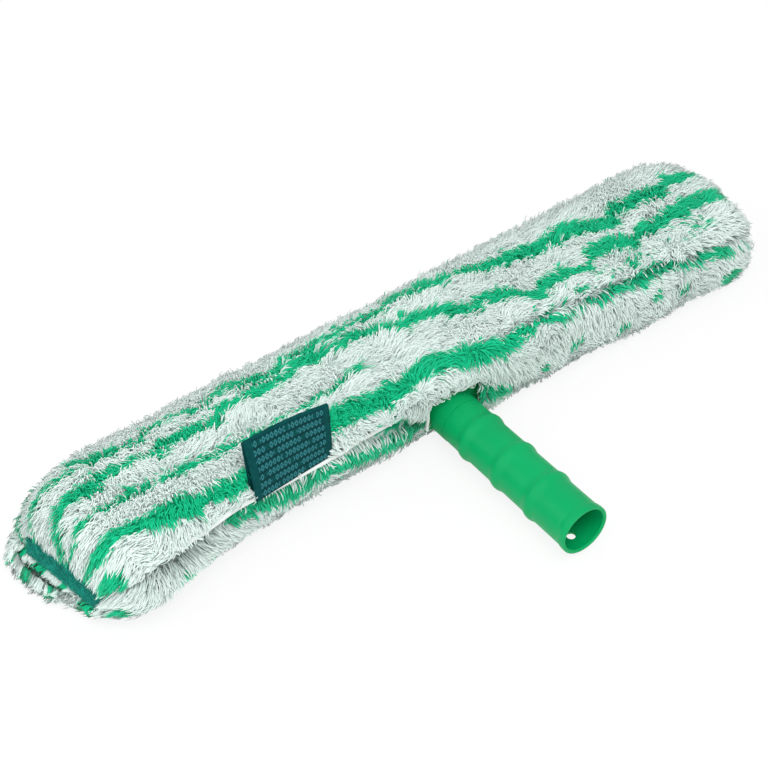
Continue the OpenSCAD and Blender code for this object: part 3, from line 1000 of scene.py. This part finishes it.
def label_material():
    """Dark woven ribbon with rows of small generic motifs between thin lines."""
    material, tree, shader = new_material("label_weave", 0.8, 0.1)
    u, v = read_map(tree, "weave")
    where = object_place(tree)
    # Hollow diamonds in staggered rows, with wider gaps here and there
    row = calculate("FLOOR", v / MOTIF_ROW)
    upright = zigzag(v, MOTIF_ROW)
    diamond = zigzag(u + row % 2 * 1.3, 2.5) + upright - 1.35
    words = zigzag(u + row * 4.3, 17) > 0.12
    inside = (u > 4.5) * (u < LABEL_WIDTH - 3.5) * (v < LABEL_HEIGHT)
    motif = (abs(diamond) < 0.27) * words * inside
    # Thin lines between the rows, and the threads of the ribbon
    line = (upright < 0.2) * inside
    weave = calculate("SINE", u * (math.pi / 0.35)) * calculate("SINE", v * (math.pi / 0.3))
    level = noise_at(where, 300, 3) * 0.5 + weave * 0.16
    ground = colour_ramp(level, [(0.1, colour(0, 60, 62)), (0.45, colour(0, 82, 80))])
    worn = noise_at(where, 2600) * 1.25
    tinted = mix_colours(motif * worn, ground, colour(66, 142, 152))
    lined = mix_colours(line * 0.85, tinted, colour(0, 40, 46))
    feed(shader.inputs["Base Color"], lined)
    add_bump(shader, weave + motif * 1.5, 0.4, 0.00015)
    return material


binding_look = fabric_material("seam_tape", colour(244, 247, 245), colour(214, 222, 219), 0.7)
backing_look = fabric_material("knit_backing", colour(228, 234, 231), colour(196, 205, 201), 0.9)
fastener_look = fabric_material("fastener_strip", colour(52, 56, 57), colour(24, 27, 28), 0.5)
thread_look = fabric_material("thread", colour(250, 252, 251), colour(226, 232, 230), 0.3, 0.6)
pad_look = pad_material()


# Knitted strip that turns under the flap's hinge, and the tongue that carries the loop strip.
# The strip lies this deep under the pile's tips, and so it is narrower than the walk outside it
FOLD_DEPTH = 4.7


def fold_strip():
    """The knitted strip that turns under the flap's hinge."""
    walk = np.linspace(FOLD_WALK[0] - 1.5, FOLD_WALK[1] + 1.5, 12)
    along = np.linspace(flap_low[0] + 0.5, flap_high[0] - 0.5, 90)
    s, x = np.meshgrid(walk, along, indexing="ij")
    point, normal, _ = surface_frame(s, x)
    piece = thick_sheet("fold_undercoat", point - normal * FOLD_DEPTH, 0.6)
    finish_piece(piece, backing_look, BENDS)


def tongue():
    y = np.linspace(-29.2, -8.5, 12)
    x = np.linspace(flap_low[0] - 0.4, flap_high[0] + 0.2, 80)
    yy, xx = np.meshgrid(y, x, indexing="ij")
    sheet = thick_sheet("tongue", points_at(xx, yy, loop_low[2] - 0.6), 0.5)
    piece = finish_piece(sheet, backing_look)


loop_low, loop_high = tool_box("loop_strip")
hook_low, hook_high = tool_box("hook_strip")
fold_strip()
tongue()


# Hook-and-loop fastener, with the thickness of its woven tapes
TAPE = 0.7


def strip_base(name, low, high, bottom, top, body, node):
    """The woven tape of a strip, from bottom to top."""
    x = np.linspace(low[0], high[0], 60)
    path = points_at(x, (low[1] + high[1]) / 2, (bottom + top) / 2)
    profile = oval((high[1] - low[1]) / 2, (top - bottom) / 2, 20, 0.35)
    piece = sweep(name, path, (0, 1, 0), (0, 0, 1), profile)
    finish_piece(piece, fastener_look, body)
    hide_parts(node)


def field(low, high, pitch):
    """Jittered points over a strip, inside its woven edges."""
    x = np.arange(low[0] + 1.5, high[0] - 1.4, pitch)
    y = np.arange(low[1] + 1.2, high[1] - 1.1, pitch)
    x, y = (grid.ravel() for grid in np.meshgrid(x, y))
    x = x + rng.uniform(-0.2, 0.2, x.size) * pitch
    y = y + rng.uniform(-0.2, 0.2, y.size) * pitch
    return x, y


def fastener():
    strip_base("loop_tape", loop_low, loop_high, loop_low[2], loop_low[2] + TAPE, "scrubber", "loop_strip")
    x, y = field(loop_low, loop_high, 1.0)
    turn = rng.uniform(0, math.pi, x.size)
    foot = points_at(x, y, loop_low[2] + TAPE - 0.1)
    half = 0.35 * points_at(np.cos(turn), np.sin(turn), 0)
    rise = points_at(0, 0, rng.uniform(0.35, 0.6, x.size))
    loops = threads("loop_field", foot - half, foot + half, rise, 0.08, rings=4, sides=3)
    finish_piece(loops, fastener_look)
    strip_base("hook_tape", hook_low, hook_high, hook_high[2] - TAPE, hook_high[2], "flap", "hook_strip")
    x, y = field(hook_low, hook_high, 1.5)
    foot = points_at(x, y, hook_high[2] - TAPE + 0.1)
    half = np.array([0.3, 0.05, 0])
    rise = points_at(0, 0, np.full(x.size, -0.6))
    hooks = threads("hook_field", foot - half, foot + half, rise, 0.13, rings=5, sides=4)
    finish_piece(hooks, fastener_look, "flap")


fastener()


# Bound edges, each a folded tape with a row of stitches of this radius
THREAD = 0.2


def bound_edge(name, node, path, aside, upward, profile, body="scrubber"):
    """A tape along a path, which replaces a packed hem."""
    piece = sweep(name, path, aside, upward, profile)
    finish_piece(piece, binding_look, body)
    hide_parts(node)


def stitch_row(name, start, end, bow, body="scrubber"):
    """White stitches from each start to its end, bowed out of the cloth."""
    count = min(len(start), len(end))
    row = threads(name, start[:count], end[:count], np.tile(bow, (count, 1)), THREAD)
    finish_piece(row, thread_look, body)


def flap_binding():
    low, high = tool_box("flap_hem")
    middle, half = (low + high) / 2, (high - low) / 2
    x = np.linspace(low[0], high[0], 120)
    wave = 0.12 * noise(x / 7, 0.5, 41)
    path = points_at(x, middle[1], middle[2] + wave)
    profile = oval(half[1], half[2] - 0.12, 14, 0.6)
    bound_edge("flap_binding", "flap_hem", path, (0, 1, 0), (0, 0, 1), profile, "flap")
    x = np.arange(low[0] + 2, high[0] - 4, 3.4)
    start = points_at(x, low[1] + 0.9, low[2] + 0.12)
    stitch_row("flap_binding_stitches", start, start + (2.4, 0, 0), (0, 0, -0.15), "flap")


def slit_binding():
    walk = np.linspace(SLIT_WALK[0] - 0.5, SLIT_WALK[1] - 8, 40)
    x = np.full(40, (hem_low[0] + hem_high[0]) / 2)
    point, normal, _ = surface_frame(walk, x)
    path = point - normal * 5.4
    path[:, 1] = np.minimum(path[:, 1], -30.7)
    bound_edge("slit_binding", "slit_hem", path, (1, 0, 0), -normal, oval(0.8, 1.5, 14, 0.6))
    seam = path - normal * 0.6 + (0.8, 0, 0)
    stitch_row("slit_binding_stitches", seam[2:-3:3], seam[4:-1:3], (0.15, 0, 0))


flap_binding()
slit_binding()


# Front seam: a thin piping in the valley of the pile, overcast with thread
def front_seam():
    x = np.arange(tape_low[0], tape_high[0] + 0.1, 1.0)
    height = (tape_low[2] + tape_high[2]) / 2 + 0.5 * noise(x / 22, 0.5, 42) - 1.0 * ramp(-150, -204, x)
    out = -33.6 - 0.6 * ramp(-140, -120, x) + 1.6 * ramp(-80, -62, x) - 4.0 * ramp(-140, -175, x)
    path = points_at(x, out, height)
    bound_edge("front_piping", "front_seam_tape", path, (0, 1, 0), (0, 0, 1), oval(1.0, 1.45, 12, 0.9))
    start = path[1:-2:3] + (0, 0.3, 1.3)
    end = path[2:-1:3] + (0, 0.3, -1.3)
    stitch_row("front_piping_stitches", start, end, (0, -1.25, 0))


front_seam()


# Label: one ribbon folded over at the top, both ends caught in the seam
def label():
    low, high = tool_box("woven_label")
    total = 2 * LABEL_HEIGHT + LABEL_FOLD
    u = np.linspace(0, 1, 40)
    side = np.linspace(0, LABEL_HEIGHT, 26)
    bend = LABEL_HEIGHT + LABEL_FOLD * np.linspace(0.12, 0.88, 7)
    uu, ww = np.meshgrid(u, np.r_[side, bend, LABEL_HEIGHT + LABEL_FOLD + side], indexing="ij")
    gap = 0.95
    front = ww <= LABEL_HEIGHT
    back = ww >= LABEL_HEIGHT + LABEL_FOLD
    share = np.clip(np.where(front, ww, total - ww) / LABEL_HEIGHT, 0, 1)
    top = -27.6 - 3.6 * uu
    bottom = np.where(front, -37.6 + 3.6 * uu ** 0.8, -32.4 - 0.8 * uu)
    y = bottom + (top + np.where(front, -gap, gap) - bottom) * share
    y = y - np.where(front, 0.8 * np.sin(math.pi * share) * (1 - 0.5 * uu), 0)
    rise = (high[2] - low[2] - gap) * (0.945 + 0.055 * np.sin(math.pi * uu))
    z = low[2] + rise * share
    turn = np.clip((ww - LABEL_HEIGHT) / LABEL_FOLD, 0, 1) * math.pi
    in_fold = ~(front | back)
    y = np.where(in_fold, top - gap * np.cos(turn), y)
    z = np.where(in_fold, low[2] + rise + gap * np.sin(turn), z)
    x = low[0] + (high[0] - low[0]) * uu
    piece = thick_sheet("label", points_at(x, y, z), 0.24)
    finish_piece(piece, label_material())
    set_map(piece, np.tile((uu * LABEL_WIDTH).ravel(), 2), np.tile(ww.ravel(), 2), "weave")
    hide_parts("woven_label")


label()


# Scrub pads: crowned blocks of non-woven fibre, sewn round their edge
PAD_CORNER = 3
# How much thicker the pad is at its lower edge, and thinner at its upper edge
PAD_TILT = 0.5
# How deep the pad sinks into its seat
PAD_SUNK = 0.25
PAD_FIBRES = 2600
# The pad's profile from its face to its seat, as (distance in from its edge, height)
PAD_LEVELS = [
    (8.3, 3.5), (7, 3.48), (5.4, 3.44), (3.8, 3.38), (2.4, 3.26), (1.3, 3.05), (0.55, 2.7),
    (0.1, 2.1), (0, 1.4), (0.1, 0.7), (0.7, 0.25), (2.5, 0.1), (8.3, 0.1)]


def pad_ring(inset):
    """One closed ring of a pad's outline, drawn in by inset."""
    half_width, half_height = PAD_HALF_WIDTH - inset, PAD_HALF_HEIGHT - inset
    r = max(PAD_CORNER - inset, 0.15)
    corners = []
    for across, up, start in ((1, -1, -90), (1, 1, 0), (-1, 1, 90), (-1, -1, 180)):
        angles = np.radians(np.linspace(start, start + 90, 6))
        corners.append(np.stack([across * (half_width - r) + r * np.cos(angles),
                                 up * (half_height - r) + r * np.sin(angles)], -1))
    outline = []
    for here, after, points in zip(corners, corners[1:] + corners[:1], (12, 34, 12, 34)):
        share = np.linspace(0, 1, points + 2)[1:-1, None]
        outline += [here, here[-1] * (1 - share) + after[0] * share]
    return np.concatenate(outline)


def on_pad(side, across, up, out):
    """Points on a pad's seat: side is -1 for the left, out is the height above the seat."""
    x = PAD_SEAT + across * math.sin(END_ANGLE) + out * math.cos(END_ANGLE)
    y = across * math.cos(END_ANGLE) - out * math.sin(END_ANGLE)
    return points_at(side * x, y, BAR_Z + up)


def pad_lean(up):
    """How many times as thick as in its middle the pad is at a height."""
    return 1 - PAD_TILT * up / PAD_HALF_HEIGHT


def pad_block(name, side, node):
    """The crowned block, built of rings from its face over its edge to its seat."""
    rings = []
    for inset, height in PAD_LEVELS:
        across, up = pad_ring(inset).T
        shaggy = 0.35 * noise(across / 1.9, up / 1.9, 51 + side)
        wavy = 0.25 * noise(across / 9, up / 9, 61 + side)
        lift = (shaggy + wavy) * (height > 1)
        pull = 1 + 0.012 * shaggy * (inset < 1)
        rings.append(on_pad(side, across * pull, up * pull, height * pad_lean(up) + lift - PAD_SUNK))
    points = np.concatenate(rings + [rings[0].mean(0)[None], rings[-1].mean(0)[None]])
    quads, caps = closed_tube(len(rings), len(rings[0]))
    if side > 0:
        quads, caps = quads[:, ::-1], caps[:, ::-1]
    piece = finish_piece(mesh_object(name, points, quads, caps), pad_look)
    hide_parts(node)


def pad_fibres(name, side):
    """Loose fibres that lie over the pad's face."""
    across = rng.uniform(-PAD_HALF_WIDTH + 0.8, PAD_HALF_WIDTH - 0.8, PAD_FIBRES)
    up = rng.uniform(-PAD_HALF_HEIGHT + 0.8, PAD_HALF_HEIGHT - 0.8, PAD_FIBRES)
    turn = rng.uniform(0, 2 * math.pi, PAD_FIBRES)
    half = rng.uniform(0.8, 2.2, PAD_FIBRES)
    out = 3.15 * pad_lean(up) + rng.uniform(-0.1, 0.25, PAD_FIBRES)
    ends = []
    for way in (-half, half):
        far = np.clip(across + way * np.cos(turn), 0.4 - PAD_HALF_WIDTH, PAD_HALF_WIDTH - 0.4)
        high = np.clip(up + way * np.sin(turn), 0.3 - PAD_HALF_HEIGHT, PAD_HALF_HEIGHT - 0.3)
        ends.append(on_pad(side, far, high, out))
    bow = np.array([side * 0.9, 0.1, 0.3]) * rng.uniform(0.1, 0.45, PAD_FIBRES)[:, None]
    fibres = threads(name + "_fibres", *ends, bow, 0.1, rings=4, sides=3)
    finish_piece(fibres, pad_look)


def pad_stitches(name, side):
    """Stitches round the pad, near its edge."""
    edge = pad_ring(1.5)
    ends = []
    for across, up in (edge[::3].T, np.roll(edge, -2, axis=0)[::3].T):
        ends.append(on_pad(side, across, up, 3.0 * pad_lean(up)))
    bow = np.tile([side * 0.45, 0, 0], (len(ends[0]), 1))
    stitches = threads(name + "_stitches", *ends, bow, 0.22)
    finish_piece(stitches, pad_thread_look)


def scrub_pad(name, side, node):
    pad_block(name, side, node)
    pad_fibres(name, side)
    pad_stitches(name, side)


pad_thread_look = fabric_material("pad_thread", colour(30, 140, 126), colour(10, 110, 98), 0.3, 0.7)
scrub_pad("left_pad", -1, "left_scrub_pad")
scrub_pad("right_pad", 1, "right_scrub_pad")


# Plastic and steel
HANDLE_GREEN = colour(0, 162, 94)
dress_node("pole_handle", plastic_material("handle_plastic", HANDLE_GREEN, 0.38))
dress_node("crossbar", plastic_material("bar_plastic", HANDLE_GREEN, 0.42))
dress_node("handle_screws", steel_material())


# Stage: floor, backdrop and soft light
def floor():
    """A white ground that looks white to the camera and still takes soft shadows."""
    mesh = bpy.data.meshes.new("floor")
    size = 6
    corners = [(-size, -size, 0), (size, -size, 0), (size, size, 0), (-size, size, 0)]
    mesh.from_pydata(corners, [], [(0, 1, 2, 3)])
    material, tree, shader = new_material("floor", 0.9, 0.1)
    feed(shader.inputs["Base Color"], (0.9, 0.9, 0.9, 1))
    glow = tree.nodes.new("ShaderNodeEmission")
    path = tree.nodes.new("ShaderNodeLightPath")
    mix = tree.nodes.new("ShaderNodeMixShader")
    feed(glow.inputs["Color"], (1, 1, 1, 1))
    feed(glow.inputs["Strength"], 1)
    feed(mix.inputs[0], Signal(tree, path.outputs["Is Camera Ray"]) * 0.85)
    feed(mix.inputs[1], Signal(tree, shader.outputs[0]))
    feed(mix.inputs[2], Signal(tree, glow.outputs[0]))
    output = next(node for node in tree.nodes if node.type == "OUTPUT_MATERIAL")
    feed(output.inputs["Surface"], Signal(tree, mix.outputs[0]))
    piece = in_scene("floor", mesh)
    dress(piece, material)


def area_light(name, where, aim, size, power):
    data = bpy.data.lights.new(name, "AREA")
    data.shape = "DISK"
    data.size = size
    data.energy = power
    lamp = in_scene(name, data)
    lamp.location = where
    lamp.rotation_euler = (Vector(aim) - Vector(where)).to_track_quat("-Z", "Y").to_euler()


def sky():
    """Even white light from all round."""
    world = bpy.data.worlds.new("sky")
    bpy.context.scene.world = world
    world.use_nodes = True
    background = world.node_tree.nodes["Background"]
    background.inputs["Color"].default_value = (1, 1, 1, 1)
    background.inputs["Strength"].default_value = 0.77


floor()
sky()
area_light("key", (-0.35, -0.8, 1.6), (0, 0.04, 0), 1.0, 15)
area_light("fill", (-1.2, 0.3, 0.9), (0, 0.04, 0.02), 1.2, 5)


# Camera at the photograph's viewing angle: angles in degrees, lengths in the tool's frame, and the pixel
# of the photograph on which the point it aims at lies
AZIMUTH, ELEVATION = -37.77, 43.78
AIM = (0, 0, 22)
DISTANCE = 1311.3
FOCAL_PIXELS = 2367.5
AIM_PIXEL = (416.77, 376.21)
IMAGE = 768
SENSOR = 36


def camera():
    azimuth, elevation = math.radians(AZIMUTH), math.radians(ELEVATION)
    level = math.cos(elevation)
    back = Vector((math.sin(azimuth) * level, -math.cos(azimuth) * level, math.sin(elevation)))
    data = bpy.data.cameras.new("camera")
    data.sensor_width = SENSOR
    data.lens = FOCAL_PIXELS * SENSOR / IMAGE
    data.shift_x = (IMAGE / 2 - AIM_PIXEL[0]) / IMAGE
    data.shift_y = (AIM_PIXEL[1] - IMAGE / 2) / IMAGE
    data.clip_start = 0.01
    data.clip_end = 50
    view = in_scene("camera", data)
    view.location = Vector(place(AIM)) + back * DISTANCE * MM
    view.rotation_mode = "QUATERNION"
    view.rotation_quaternion = (-back).to_track_quat("-Z", "Y")
    bpy.context.scene.camera = view


camera()
bpy.context.scene.view_settings.view_transform = "Standard"
